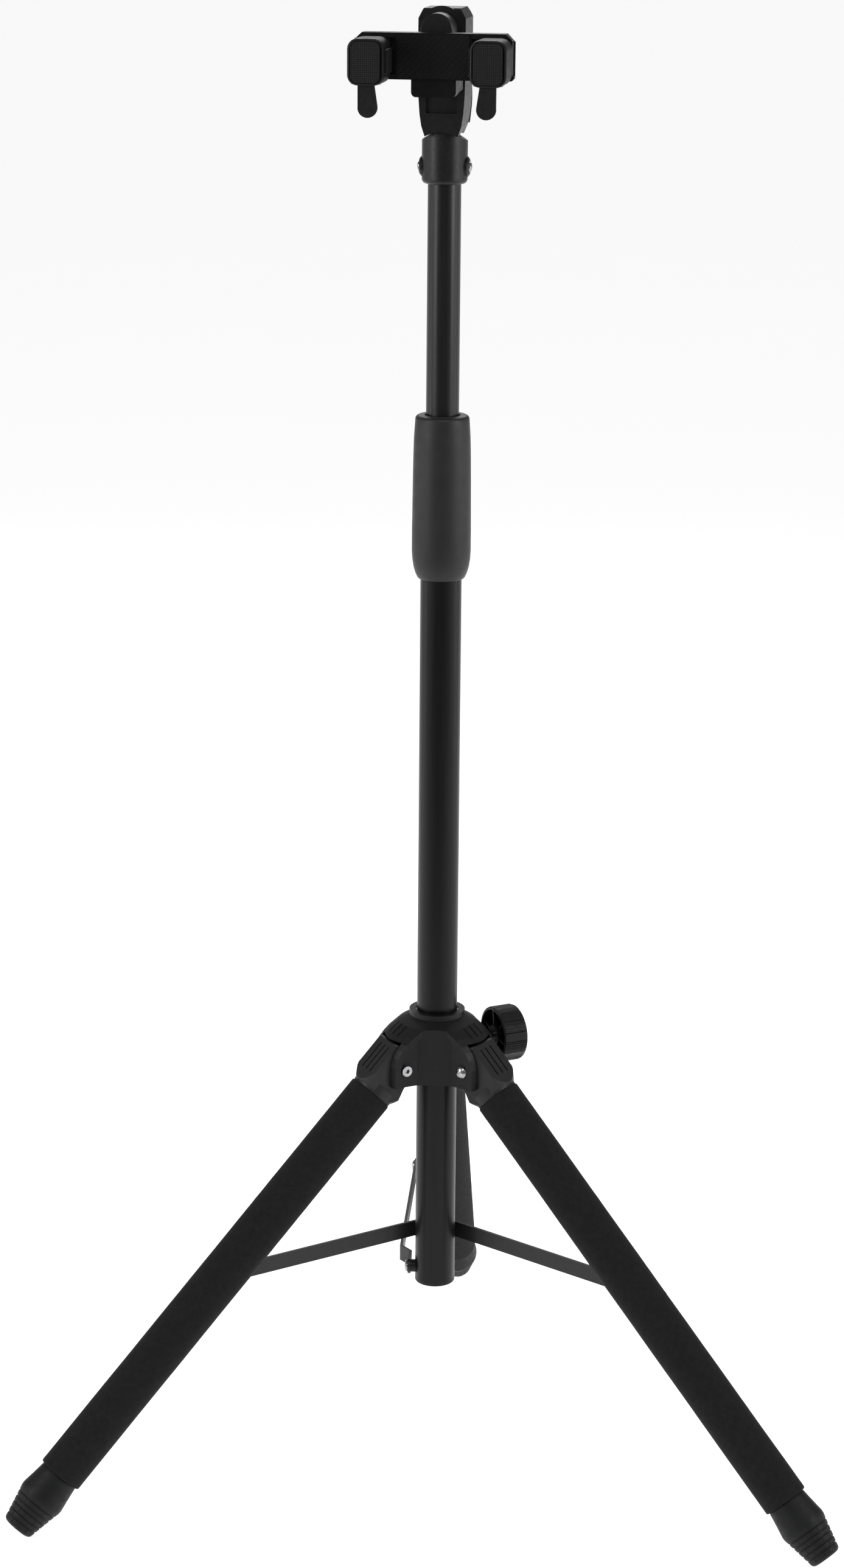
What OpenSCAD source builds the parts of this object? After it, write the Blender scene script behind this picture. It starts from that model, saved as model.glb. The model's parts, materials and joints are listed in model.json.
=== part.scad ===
// Floor-standing phone tripod with a telescopic mast, a sliding three-leg hub and a sprung phone clamp.
// Millimetres, +Z up. Origin on the floor under the mast's axis; the clamp faces -Y.

/* [Mast] */
// Outside diameter of the lower tube
mast_d = 25; // [24.6:0.1:25]
// Height of the lower tube's bottom end above the floor
mast_bottom = 116.5; // [110:0.5:118]
// Height of the lower tube's top end, inside the twist sleeve
mast_top = 622; // [618:1:624]
// Outside diameter of the upper tube
upper_d = 19.8; // [19.6:0.1:19.8]

/* [Twist lock] */
// Height of the sleeve's bottom edge
sleeve_bottom = 573; // [570:1:574]
// Height of the sleeve's top face
sleeve_top = 673.3; // [673:0.1:674]

/* [Hub and legs] */
// Height of the leg pivots
pivot_z = 266.6; // [266:0.1:267]
// Distance of the leg pivots from the mast's axis
pivot_r = 29; // [29:0.1:29.5]
// Slope of the open legs below horizontal, in degrees
leg_slope = 45.66; // [45:0.01:46]
// Turn of the whole tripod about the mast, in degrees
leg_turn = 5; // [0:1:10]
// Outside diameter of the foam on the legs
foam_d = 28.56; // [28:0.01:28.6]
// Distance from a leg's pivot to the lower end of its foam
foam_end = 323.7; // [320:0.1:324]

/* [Braces] */
// Height of the rivets that hold the two front straps
front_rivet_z = 147.2; // [147:0.1:148]
// Height of the rivet that holds the rear strap
rear_rivet_z = 125.5; // [125:0.1:126]
// Width of the straps
strap_w = 10; // [9:0.5:10]

/* [Head] */
// Height of the tilt axis
tilt_z = 820.5; // [820:0.1:821]
// Height of the clamp's roll axis
roll_z = 901.5; // [901:0.1:902]
// Half the width of the clamp's housing
bar_half = 46.5; // [46:0.1:47]
// Distance of each jaw's centre from the middle plane
jaw_x = 35; // [35:0.1:35.5]

/* [Hidden] */
$fn = 48;

far = 200;                        // cutting tools reach past everything
run = 0.05;                       // radial clearance of a running fit
mast_r = mast_d / 2;
mast_bore_r = mast_r - 1;
upper_r = upper_d / 2;
upper_bore_r = upper_r - 1;
upper_bottom = 340;
guide_len = 16;

// Legs: left, right, rear. side is +1 where the strap lies on the leg's +90 degree side.
leg_az = [215, 335, 95] + [for (i = [0:2]) leg_turn - 5];
side = [-1, 1, 1];
rivet_z = [front_rivet_z, front_rivet_z, rear_rivet_z];
strap_hold = [180.7, 180.7, 193.56];            // pivot to strap hole, along each leg
leg_u = [cos(leg_slope), -sin(leg_slope)];      // a leg's direction in its own upright plane
hold_pt = [for (a = strap_hold) [pivot_r, pivot_z] + a * leg_u];
strap_len = [for (i = [0:2]) norm(hold_pt[i] - [0, rivet_z[i]])];
strap_rise = [for (i = [0:2]) atan2(hold_pt[i][1] - rivet_z[i], hold_pt[i][0])];
strap_t = 1.8;
strap_in = 15.3;                  // inner face of a strap, from the leg's plane
rear_step = 6.5;                  // how far the rear strap is joggled outwards
rivet_r = 2;
rivet_head_r = 4;
rivet_head_h = 1.9;

// Hub crown
crown_bottom = 255.5;
crown_top = 298.6;
ring_r = 17.3;
crown_bore_r = 13.2;
// Dome's outline, radius and height; its lips follow the same line
dome = [[ring_r, 295.4], [24, 291.5], [30, 286.6], [33.5, 283], [36, 279.6], [38.5, 275], [40, 269],
    [40.3, 262], [40.3, crown_bottom + 1], [39.3, crown_bottom]];
dome_in = [[ring_r, 292], [22, 289], [28, 283.6], [31.2, 280.4], [33.3, 277.5], [35.3, 273.5],
    [36.6, 268], [36.8, 262], [36.8, crown_bottom - 1]];
band_r = 23.5;                    // flat bands between the legs, from the mast's axis
cheek = 15;                       // outer face of a leg pocket's wall, from the leg's plane
lip = 1.6;                        // how far the rims stand proud of the cheeks
pocket_half = 12.2;
pocket_in = 16.6;
pocket_roof_r = 17.2;
roof_r = 33.5;                    // the roof over a leg ends at this radius
bolt_r = 2.45;
bolt_seat = cheek;                // head's seat, from the leg's plane
knob_az = leg_az[1] + 60;
knob_z = 275;
knob_r = 17.75;
knob_in = 39.6;
knob_out = 56;
knob_cup = 5;                     // depth of the hollow on the knob's inner side

// Leg pieces, along the leg from its pivot
socket_half = 11.8;
socket_under = 12;
socket_top = 14;
socket_end = 23.5;
socket_round = 17;
leg_tube_r = 9.5;
foam_r = foam_d / 2;
foot_wide_x = 341.4;
foot_wide_r = 14.65;
foot_tip_r = 10.3;
foot_round = 3;
// The tip's rounding touches the floor
foot_tip_x = foot_round
    + (pivot_z - foot_round - (foot_tip_r - foot_round) * cos(leg_slope)) / sin(leg_slope);

// Head
collar_r = 13.55;
collar_bottom = 810.5;
arch_r = 20.5;                    // the collar's arched front top, about the tilt axis's height
back_r = 20.3;                    // its rounded back top
arm_gap_r = 20.9;
slot_half = 6.6;
tongue_half = 6.3;
tongue_eye_r = 8;
screw_r = 2;
arm_front = -16;
arm_back = 14.6;
arm_half = 13.9;
arm_top = 912.8;
flange_front = -18;
boss_front = -38;
boss_r = 9.5;
flange_r = 12.8;
roll_screw_r = 3;

// Clamp
bar_front = -49;
bar_back = boss_front;
bar_low = 874;
bar_high = 900.5;
window_half = 22;                 // half width of the front wall between the slide windows
channel = [-47, -43.4, 877, 897.5];    // y from, y to, z from, z to
slide_in = 3;
slide_out = 45.6;
jaw_half = 10.6;
jaw_front = -76;
jaw_low = 872;
jaw_high = 898.5;
jaw_mid = (jaw_low + jaw_high) / 2;
jaw_round = 6;
tongue_y = -73.2;
tongue_z = 873.6;
tongue_pin_r = 1;
tongue_end_z = 859.6;
tongue_end_r = 5.65;

// ---- helpers ----

// A cylinder along +X that starts at x
module xcyl(r, x, len) { translate([x, 0, 0]) rotate([0, 90, 0]) cylinder(r = r, h = len); }

// A cylinder along +Y that starts at y
module ycyl(r, y, len) { translate([0, y, 0]) rotate([-90, 0, 0]) cylinder(r = r, h = len); }

// A rectangle with round corners, centred, drawn with true arcs
module round_rect(w, h, r) {
    square([w - 2 * r, h], center = true);
    square([w, h - 2 * r], center = true);
    for (sx = [-1, 1], sy = [-1, 1]) translate([sx * (w / 2 - r), sy * (h / 2 - r)]) circle(r);
}

// Extrudes an X-Z outline from y0 to y1
module along_y(y0, y1) { translate([0, y1, 0]) rotate([90, 0, 0]) linear_extrude(y1 - y0) children(); }

// Extrudes a Y-Z outline from x0 to x1
module along_x(x0, x1) { translate([x0, 0, 0]) rotate([90, 0, 90]) linear_extrude(x1 - x0) children(); }

// Points of an arc about c, from angle a0 to a1
function arc(c, r, a0, a1, n = 6) =
    [for (i = [0:n]) let (a = a0 + (a1 - a0) * i / n) c + r * [cos(a), sin(a)]];

// Places children at leg i's upright plane: +X outwards, +Y to its +90 degree side
module at_leg(i) { rotate([0, 0, leg_az[i]]) children(); }

// Places children along leg i: +X down the leg from its pivot
module on_leg(i) { at_leg(i) translate([pivot_r, 0, pivot_z]) rotate([0, leg_slope, 0]) children(); }

// Places children at strap i's mast rivet: +X along the strap, +Y away from the leg's plane
module on_strap(i) {
    at_leg(i) translate([0, 0, rivet_z[i]]) rotate([0, -strap_rise[i], 0])
        mirror([0, side[i] < 0 ? 1 : 0, 0]) children();
}

// Places children at strap i's mast rivet without the strap's slope: +Y along the rivet
module at_rivet(i) {
    at_leg(i) translate([0, 0, rivet_z[i]]) mirror([0, side[i] < 0 ? 1 : 0, 0]) children();
}

// ---- mast ----

module mast_tube() {
    color("#2b2b2d") difference() {
        translate([0, 0, mast_bottom + 3]) cylinder(r = mast_r, h = mast_top - mast_bottom - 3, $fn = 96);
        cylinder(r = mast_bore_r, h = mast_top + far, $fn = 96);
        for (i = [0:2]) at_rivet(i) ycyl(rivet_r, 0, far);
    }
}

module mast_end_plug() {
    edge = 1.2;
    color("#242426") difference() {
        rotate_extrude($fn = 96) polygon(concat(
            [[0, mast_bottom], [mast_r - edge, mast_bottom]],
            arc([mast_r - edge, mast_bottom + edge], edge, -90, 0, 4),
            [[mast_r, mast_bottom + 3], [mast_bore_r, mast_bottom + 3], [mast_bore_r, 160], [8, 160],
             [8, 158], [0, 158]]));
        for (i = [0:2]) at_rivet(i) ycyl(rivet_r, 7, far);
    }
}

module brace_spacers() {
    color("#1f1f21") for (i = [0:2]) at_rivet(i) difference() {
        ycyl(rivet_head_r, 10, strap_in - 0.2 - 10);
        ycyl(rivet_r, 0, far);
        translate([0, 0, -far]) cylinder(r = mast_r, h = 2 * far, $fn = 96);
    }
}

// A rivet head: a low dome on its seat, pointing along +Y
module rivet_head(y) {
    translate([0, y, 0]) rotate([-90, 0, 0]) rotate_extrude() polygon([[0, 0], [rivet_head_r, 0],
        [rivet_head_r * 0.93, rivet_head_h * 0.45], [rivet_head_r * 0.72, rivet_head_h * 0.78],
        [rivet_head_r * 0.4, rivet_head_h * 0.96], [0, rivet_head_h]]);
}

module mast_rivets() {
    seat = strap_in + strap_t + 0.2;
    color("silver") for (i = [0:2]) at_rivet(i) {
        ycyl(rivet_r, 7, seat - 7 + 0.1);
        rivet_head(seat);
    }
}

module lock_bush() {
    low = 600;
    color("#3a3a3c") difference() {
        union() {
            translate([0, 0, low]) cylinder(r = 14.2, h = 40);
            for (z = [604:6:634]) translate([0, 0, z]) cylinder(r = 14.5, h = 3);
        }
        translate([0, 0, low - 1]) cylinder(r = mast_r, h = mast_top - low + 1, $fn = 96);
        translate([0, 0, mast_top - 1]) cylinder(r = 12.5, h = far);
    }
}

module lock_collet() {
    low = mast_top + 0.5;
    color("#d9d9d2") difference() {
        rotate_extrude() polygon([[upper_r + run, low], [12.4, low], [12.4, low + 6], [11.6, low + 6],
            [11.6, low + 20], [11.2, low + 33], [upper_r + run, low + 33]]);
        for (a = [0:60:300]) rotate([0, 0, a]) translate([0, -0.5, low + 10]) cube([far, 1, far]);
    }
}

// ---- twist lock ----

module twist_sleeve() {
    b = sleeve_bottom;
    t = sleeve_top;
    color("#3b3b3d") difference() {
        rotate_extrude($fn = 96) polygon(concat(
            [[mast_r + 0.15, b], [13.4, b], [14.4, b + 0.7], [15.7, b + 3.4], [16.8, b + 7.2],
             [17.5, b + 12], [17.85, b + 17], [17.8, b + 30], [17.65, b + 45], [17.5, b + 60],
             [17.35, b + 72], [17.2, b + 80],
             [16.95, b + 87], [16.6, b + 92.5]],
            arc([13.6, t - 3.2], 2.6, 18, 80, 5),
            [[12, t], [upper_r + 0.7, t - 0.4], [upper_r + 0.4, t - 1], [upper_r + 0.4, 660],
             [14.7, 660], [14.7, 599.5], [mast_r + 0.15, 599.5]]));
    }
}

module twist_cone() {
    color("#4a4a4c") rotate_extrude() polygon([[14.7, 640.5], [14.7, 659], [11.6, 659], [12.8, 640.5]]);
}

// ---- upper mast ----

module guide_bush() {
    color("#e4e1d8") difference() {
        translate([0, 0, upper_bottom]) cylinder(r = mast_bore_r - run, h = guide_len, $fn = 96);
        cylinder(r = upper_r + run, h = 2 * upper_bottom, $fn = 96);
        translate([0, 0, upper_bottom + 5]) difference() {
            cylinder(r = far, h = 6);
            translate([0, 0, -1]) cylinder(r = mast_bore_r - 0.6, h = far);
        }
    }
}

module upper_tube() {
    color("#333335") difference() {
        translate([0, 0, upper_bottom]) cylinder(r = upper_r, h = collar_bottom - upper_bottom, $fn = 96);
        cylinder(r = upper_bore_r, h = 2 * collar_bottom, $fn = 96);
    }
}

// What a collar keeps above the tilt axis: an arch at the front, a ball-shaped top at the back
module collar_top_limit() {
    translate([-far / 2, -far / 2, collar_bottom - 30]) cube([far, far, tilt_z - collar_bottom + 30]);
    intersection() {
        translate([0, 0, tilt_z]) ycyl(arch_r, -30, 60, $fn = 96);
        translate([-30, -30, tilt_z - 1]) cube([60, 30, 40]);
    }
    intersection() {
        translate([0, 0, tilt_z]) sphere(r = back_r, $fn = 96);
        translate([-30, -0.01, tilt_z - 1]) cube([60, 30, 40]);
    }
}

module head_collar() {
    color("#343436") difference() {
        intersection() {
            union() {
                rotate_extrude($fn = 96) polygon(concat(
                    [[0, collar_bottom - 14], [upper_bore_r, collar_bottom - 14],
                     [upper_bore_r, collar_bottom], [collar_r - 2.8, collar_bottom]],
                    arc([collar_r - 2.8, collar_bottom + 2.8], 2.8, -80, 0, 7),
                    [[collar_r, 845], [0, 845]]));
                for (s = [-1, 1]) translate([0, 0, tilt_z]) mirror([s < 0 ? 1 : 0, 0, 0]) {
                    xcyl(6, 9, 4.8);
                    translate([13.79, 0, 0]) rotate([0, 90, 0]) cylinder(r1 = 6, r2 = 4.6, h = 1.1);
                }
            }
            collar_top_limit();
        }
        translate([-slot_half, -10.5, tilt_z - 8.4]) cube([2 * slot_half, far, far]);
        translate([0, 0, tilt_z]) xcyl(screw_r, -30, 60);
    }
}

module collar_screws() {
    color("silver") for (s = [-1, 1]) translate([0, 0, tilt_z]) mirror([s < 0 ? 1 : 0, 0, 0]) {
        xcyl(screw_r, 0.3, 14.7);
        translate([14.89, 0, 0]) rotate([0, 90, 0]) rotate_extrude() difference() {
            polygon([[0, 0], [2.9, 0], [2.7, 0.6], [2, 1.1], [1.4, 1.25], [0, 1.25]]);
            translate([-1, 0.7]) square([1.9, 2]);
        }
    }
}

// ---- tilting head ----

module tilt_arm() {
    recess_half = 9.2;
    recess_depth = 1.8;
    color("#3a3a3c") difference() {
        union() {
            difference() {
                intersection() {
                    along_y(arm_front, arm_back) polygon([
                        [-8.8, 836], [-11.8, 845], [-12.9, 852], [-13.6, 862], [-arm_half, 872],
                        [-arm_half, 907], [-10.9, arm_top], [10.9, arm_top], [arm_half, 907],
                        [arm_half, 872], [13.6, 862], [12.9, 852], [11.8, 845], [8.8, 836]]);
                    along_x(-arm_half, arm_half) polygon([[arm_front, 830], [arm_front, arm_top - 1],
                        [arm_front + 1, arm_top], [arm_back - 3, arm_top], [arm_back, arm_top - 3],
                        [arm_back, 850], [arm_back - 2, 843], [6, 836], [2, 830]]);
                }
                translate([0, 0, tilt_z]) ycyl(arm_gap_r, -30, 60, $fn = 96);
                translate([0, 0, tilt_z]) xcyl(arm_gap_r, -30, 60, $fn = 96);
            }
            translate([0, 0, tilt_z]) xcyl(tongue_eye_r, -tongue_half, 2 * tongue_half);
            translate([-tongue_half, -tongue_eye_r, tilt_z]) cube([2 * tongue_half, 2 * tongue_eye_r, 25]);
        }
        translate([0, 0, tilt_z]) xcyl(screw_r + run, -30, 60);
        translate([-recess_half, arm_front - 1, 852.5]) cube([2 * recess_half, 1 + recess_depth, 20]);
        translate([0, 0, roll_z]) ycyl(roll_screw_r + run, -30, 24);
        translate([0, 0, roll_z]) ycyl(6, -6.5, 30);
    }
}

module pivot_flange() {
    color("#303032") translate([0, 0, roll_z]) difference() {
        union() {
            ycyl(flange_r, flange_front + 0.6, arm_front - flange_front - 0.6, $fn = 96);
            ycyl(flange_r - 0.6, flange_front, 1, $fn = 96);
        }
        ycyl(roll_screw_r + run, -30, 30);
    }
}

module rear_clip() {
    z0 = 845;
    z1 = 875;
    bow = 9.4;
    t = 1.2;
    n = 14;
    color("#2a2a2c") along_x(-12.5, 12.5) polygon(concat(
        [for (i = [0:n]) [arm_back + t + bow * sin(180 * i / n), z0 + (z1 - z0) * i / n]],
        [for (i = [n:-1:0]) [arm_back + bow * sin(180 * i / n), z0 + t + (z1 - z0 - 2 * t) * i / n]]));
}

// ---- phone clamp ----

module clamp_housing() {
    color("#38383a") difference() {
        intersection() {
            along_y(bar_front, bar_back) polygon([[-bar_half, bar_low + 1.5], [-bar_half, bar_high - 4.5],
                [-bar_half + 5, bar_high], [bar_half - 5, bar_high], [bar_half, bar_high - 4.5],
                [bar_half, bar_low + 1.5], [bar_half - 1.5, bar_low], [-bar_half + 1.5, bar_low]]);
            translate([0, 0, bar_low]) linear_extrude(bar_high - bar_low) polygon([[-bar_half, bar_front],
                [-bar_half, bar_back - 5], [-bar_half + 6, bar_back], [bar_half - 6, bar_back],
                [bar_half, bar_back - 5], [bar_half, bar_front]]);
        }
        translate([-far / 2, channel[0], channel[2]])
            cube([far, channel[1] - channel[0], channel[3] - channel[2]]);
        for (s = [0, 1]) mirror([s, 0, 0]) {
            translate([window_half, bar_front - 1, channel[2]]) cube([far, 4, channel[3] - channel[2]]);
            translate([4, channel[1] - 1, 885]) cube([36, 5, 5]);
        }
    }
}

module clamp_pad() {
    color("#2c2c2e") along_y(bar_front - 0.8, bar_front) translate([0, (bar_low + bar_high) / 2])
        round_rect(41.6, 25, 1);
}

module clamp_bracket() {
    low = 864;
    half = 13;
    color("#37373a") difference() {
        union() {
            along_y(bar_front + 1, boss_front) translate([0, low + 5]) intersection() {
                round_rect(2 * half, 10, 3);
                square([40, 9.9], center = true);
            }
            along_y(boss_front, flange_front - 1) polygon([[-half, low + 3], [3 - half, low],
                [half - 3, low], [half, low + 3], [half, 893], [-half, 893]]);
            translate([-half, bar_front + 1, low + 4.9]) cube([2 * half, boss_front - bar_front - 1, 5.1]);
        }
        translate([0, 0, roll_z]) ycyl(boss_r, boss_front - 1, 30, $fn = 96);
    }
}

module pivot_boss() {
    color("#3d3d3f") translate([0, 0, roll_z]) difference() {
        union() {
            ycyl(boss_r, boss_front + 0.7, flange_front - boss_front - 1, $fn = 96);
            translate([0, boss_front, 0]) rotate([-90, 0, 0])
                cylinder(r1 = boss_r - 0.7, r2 = boss_r, h = 0.7, $fn = 96);
        }
        ycyl(roll_screw_r + run, -33.5, 30);
    }
}

module pivot_screw() {
    color("silver") translate([0, 0, roll_z]) {
        ycyl(roll_screw_r, -33, 33 - 6.4);
        ycyl(5, -6.45, 3);
    }
}

module clamp_springs() {
    color("silver") for (m = [0, 1]) mirror([m, 0, 0]) translate([0, -41.2, 887.5]) difference() {
        xcyl(1.7, 5, 33);
        xcyl(1, 4, 35);
    }
}

// s is -1 for the left arm and +1 for the right
module slide(s) {
    z0 = channel[2] + 0.3;
    h = channel[3] - channel[2] - 0.6;
    color("#303033") mirror([s < 0 ? 1 : 0, 0, 0]) {
        translate([slide_in, channel[0] + 0.2, z0])
            cube([slide_out - slide_in, channel[1] - channel[0] - 0.4, h]);
        translate([jaw_x - jaw_half + 0.6, -50, z0]) cube([2 * jaw_half - 0.6, 3.3, h]);
    }
}

module jaw(s) {
    color("#3c3c3e") difference() {
        union() {
            along_y(jaw_front + 1.2, -50) translate([s * jaw_x, jaw_mid])
                round_rect(2 * jaw_half, jaw_high - jaw_low, jaw_round);
            along_y(jaw_front, jaw_front + 1.2) translate([s * jaw_x, jaw_mid])
                round_rect(2 * jaw_half - 1.6, jaw_high - jaw_low - 1.6, jaw_round - 0.8);
        }
        translate([s * jaw_x - 7.2, -75, jaw_low - 1]) cube([14.4, 22.5, 5.2]);
        translate([s * jaw_x, tongue_y, tongue_z]) xcyl(tongue_pin_r, -8.6, 17.2);
    }
}

module jaw_pad(s) {
    color("#2f2f31") along_y(jaw_front - 0.6, jaw_front) translate([s * jaw_x, jaw_mid])
        round_rect(17, 23.4, 4.2);
}

module jaw_grip(s) {
    color("#2a2a2c") mirror([s < 0 ? 1 : 0, 0, 0]) translate([jaw_x - jaw_half - 1, 0, 0])
        along_x(0, 1) translate([-62.5, jaw_mid]) round_rect(20, 14, 1);
}

module tongue(s) {
    in = -s;
    color("#333335") difference() {
        union() {
            translate([s * jaw_x, tongue_y, tongue_z]) xcyl(1.7, -4.65, 9.3);
            along_y(tongue_y - 1.1, tongue_y + 1.1) {
                translate([s * jaw_x + in, tongue_end_z]) circle(tongue_end_r);
                translate([s * jaw_x, 0]) polygon([[-4.65, tongue_z], [4.65, tongue_z],
                    [in + tongue_end_r - 0.05, tongue_end_z + 1],
                    [in - tongue_end_r + 0.05, tongue_end_z + 1]]);
            }
        }
        translate([s * jaw_x, tongue_y, tongue_z]) xcyl(tongue_pin_r + run, -9, 18);
    }
}

module tongue_pin(s) {
    color("silver") translate([s * jaw_x, tongue_y, tongue_z]) xcyl(tongue_pin_r, -8.5, 17);
}

// ---- hub ----

// A solid of revolution under a dome line, with its bore
module revolve_under(line, top) {
    rotate_extrude($fn = 96) polygon(concat([[crown_bore_r, crown_bottom - 1], [crown_bore_r, top]],
        [[ring_r, top]], line, [[line[len(line) - 1][0], crown_bottom - 1]]));
}

// Blocks out along each leg, half wide either side of the leg's plane
module leg_blocks(half) {
    for (i = [0:2]) at_leg(i) translate([0, -half, 0]) cube([60, 2 * half, 2 * far]);
}

module leg_pocket(i) {
    at_leg(i) difference() {
        translate([0, pocket_half, 0]) rotate([90, 0, 0]) linear_extrude(2 * pocket_half) {
            translate([pivot_r, pivot_z]) circle(pocket_roof_r, $fn = 96);
            translate([pocket_in, 200]) square([60, pivot_z - 200]);
            translate([roof_r - 4, 200]) square([60, 100]);
        }
        translate([0, 0, pivot_z + 2]) cylinder(r = roof_r, h = 2 * far, $fn = 96);
        translate([pocket_in - far, -far / 2, 0]) cube([far, far, 2 * far]);
    }
    at_leg(i) along_y(-pocket_half, pocket_half) intersection() {
        translate([pivot_r, pivot_z]) circle(pocket_roof_r, $fn = 96);
        translate([pocket_in, 200]) square([60, 100]);
    }
}

module crown_solid() {
    intersection() {
        revolve_under(dome, crown_top);
        translate([0, 0, crown_bottom]) union() {
            linear_extrude(far) for (i = [0:2]) rotate(leg_az[i] + 60) intersection() {
                translate([0, -far / 2]) square([band_r, far]);
                rotate(-60) square([far, far]);
                rotate(60) translate([0, -far]) square([far, far]);
            }
            cylinder(r = ring_r + 1, h = far);
            translate([0, 0, -crown_bottom]) leg_blocks(cheek);
        }
        translate([0, 0, crown_bottom]) cylinder(r = far, h = far);
    }
    intersection() {
        difference() {
            revolve_under(dome, crown_top);
            revolve_under(dome_in, crown_top - 2);
        }
        leg_blocks(cheek + lip);
        translate([0, 0, crown_bottom]) cylinder(r = far, h = far);
    }
}

module hub_crown() {
    slope = atan2(dome[1][1] - dome[2][1], dome[2][0] - dome[1][0]);
    color("#3a3a3d") difference() {
        crown_solid();
        for (i = [0:2]) {
            leg_pocket(i);
            at_leg(i) translate([pivot_r, 0, pivot_z]) ycyl(bolt_r, -far / 2, far);
            at_leg(i) for (y = [-6.4, -0.8, 4.8])
                translate([27.2, y, 288.9]) rotate([0, slope, 0]) translate([-4.5, 0, -0.7])
                    cube([9, 0.9, 4]);
        }
        rotate([0, 0, knob_az]) translate([0, 0, knob_z]) {
            xcyl(3.1, 5, 60);
            xcyl(5, 17.5, 60);
        }
    }
}

module hub_liner() {
    color("#e4e1d8") difference() {
        translate([0, 0, crown_bottom + 0.5])
            cylinder(r = crown_bore_r, h = crown_top - crown_bottom - 1.5, $fn = 96);
        cylinder(r = mast_r + run, h = 2 * crown_top, $fn = 96);
        rotate([0, 0, knob_az]) translate([0, 0, knob_z]) xcyl(3.1, 5, 60);
    }
}

module leg_bolts() {
    color("silver") for (i = [0:2]) at_leg(i) translate([pivot_r, 0, pivot_z]) difference() {
        union() {
            ycyl(bolt_r, -bolt_seat - 2, 2 * bolt_seat + 2.1);
            ycyl(3.3, bolt_seat, 2.6);
        }
        translate([0, bolt_seat + 1, 0]) rotate([-90, 0, 0]) cylinder(r = 1.6, h = 4, $fn = 6);
    }
}

module leg_nuts() {
    color("silver") for (i = [0:2]) at_leg(i)
        translate([pivot_r, -bolt_seat, pivot_z]) rotate([90, 0, 0]) difference() {
        rotate_extrude() polygon([[0, 0], [4, 0], [4, 1], [3.6, 2], [2.7, 2.9], [1.4, 3.4], [0, 3.55]]);
        translate([0, 0, -1]) cylinder(r = bolt_r, h = 3);
    }
}

// Places children on the knob's axis: +X outwards
module on_knob() { rotate([0, 0, knob_az]) translate([0, 0, knob_z]) children(); }

module knob_insert() {
    color("#b59a55") on_knob() difference() {
        xcyl(5, 17.5, band_r - 17.5);
        xcyl(3, 0, 60);
    }
}

module clamp_knob() {
    color("#3c3c3f") on_knob() difference() {
        union() {
            xcyl(knob_r, knob_in + 0.6, knob_out - knob_in - 2.6, $fn = 96);
            xcyl(knob_r - 0.6, knob_in, 2, $fn = 96);
            xcyl(knob_r - 1.4, knob_out - 3, 3, $fn = 96);
        }
        difference() {
            xcyl(knob_r - 2, knob_in - 1, 1 + knob_cup, $fn = 96);
            xcyl(6, knob_in - 2, 20);
        }
        xcyl(3, knob_in - 2, 13);
    }
}

module knob_stud() {
    color("silver") on_knob() {
        xcyl(3 - run, 14.6, knob_in - 14.5);
        xcyl(3, knob_in, 10);
    }
}

module knob_pad() {
    color("#e4e1d8") on_knob() xcyl(2.9, mast_r + 0.1, 14.6 - mast_r - 0.1);
}

// ---- legs ----

module leg_socket(i) {
    color("#3c3c3f") on_leg(i) difference() {
        intersection() {
            union() {
                translate([0, socket_half, 0]) rotate([90, 0, 0]) linear_extrude(2 * socket_half) {
                    circle(socket_under);
                    polygon([[-9, 1], [-9, socket_top - 1.4], [-7.6, socket_top],
                        [socket_end, socket_top], [socket_end, -socket_under - 2],
                        [9, -socket_under + 2.5], [0, -socket_under + 2.5]]);
                }
                xcyl(13.4, socket_round, socket_end - socket_round, $fn = 96);
            }
            // Tapers to the foam's round end
            rotate([0, 90, 0]) rotate_extrude($fn = 96) polygon([[0, -20], [20, -20], [20, 9],
                [17.6, 15.5], [15.2, 19.6], [13.7, 22], [13.5, socket_end], [0, socket_end]]);
        }
        translate([0, -30, 0]) ycyl(bolt_r + run, 0, 60);
        xcyl(leg_tube_r, 14, 40, $fn = 96);
        for (y = [-5.2, 0, 5.2]) translate([-4.5, y - 0.5, socket_top - 0.9]) cube([19, 1, 4]);
    }
}

module leg_tube(i) {
    color("#b9b9bb") on_leg(i) difference() {
        xcyl(leg_tube_r, 14, foot_wide_x + 6 - 14, $fn = 96);
        xcyl(leg_tube_r - 1, 13, 400, $fn = 96);
    }
}

module leg_foam(i) {
    color("#27272a") on_leg(i) difference() {
        xcyl(foam_r, socket_end, foam_end - socket_end, $fn = 96);
        xcyl(leg_tube_r, 0, 400, $fn = 96);
    }
}

module leg_foot(i) {
    tube_end = foot_wide_x + 6;
    color("#1e1e20") on_leg(i) rotate([0, 90, 0]) rotate_extrude($fn = 96) polygon(concat(
        [[leg_tube_r, foam_end], [12.6, foam_end], [13.2, foam_end + 1],
         [foot_wide_r - 0.3, foot_wide_x - 1.5], [foot_wide_r, foot_wide_x],
         [foot_wide_r - 0.4, foot_wide_x + 2]],
        arc([foot_tip_r - foot_round, foot_tip_x - foot_round], foot_round, 0, 90),
        [[0, foot_tip_x], [0, tube_end], [leg_tube_r, tube_end]]));
}

// ---- braces ----

// A strap's plan: its middle line from the mast end, joggled outwards by step
function strap_plan(len, step) = let (a = strap_in, b = strap_in + strap_t)
    [[-6, a], [12, a], [20, a + step], [len + 6, a + step],
     [len + 6, b + step], [19.5, b + step], [11.5, b], [-6, b]];

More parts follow.
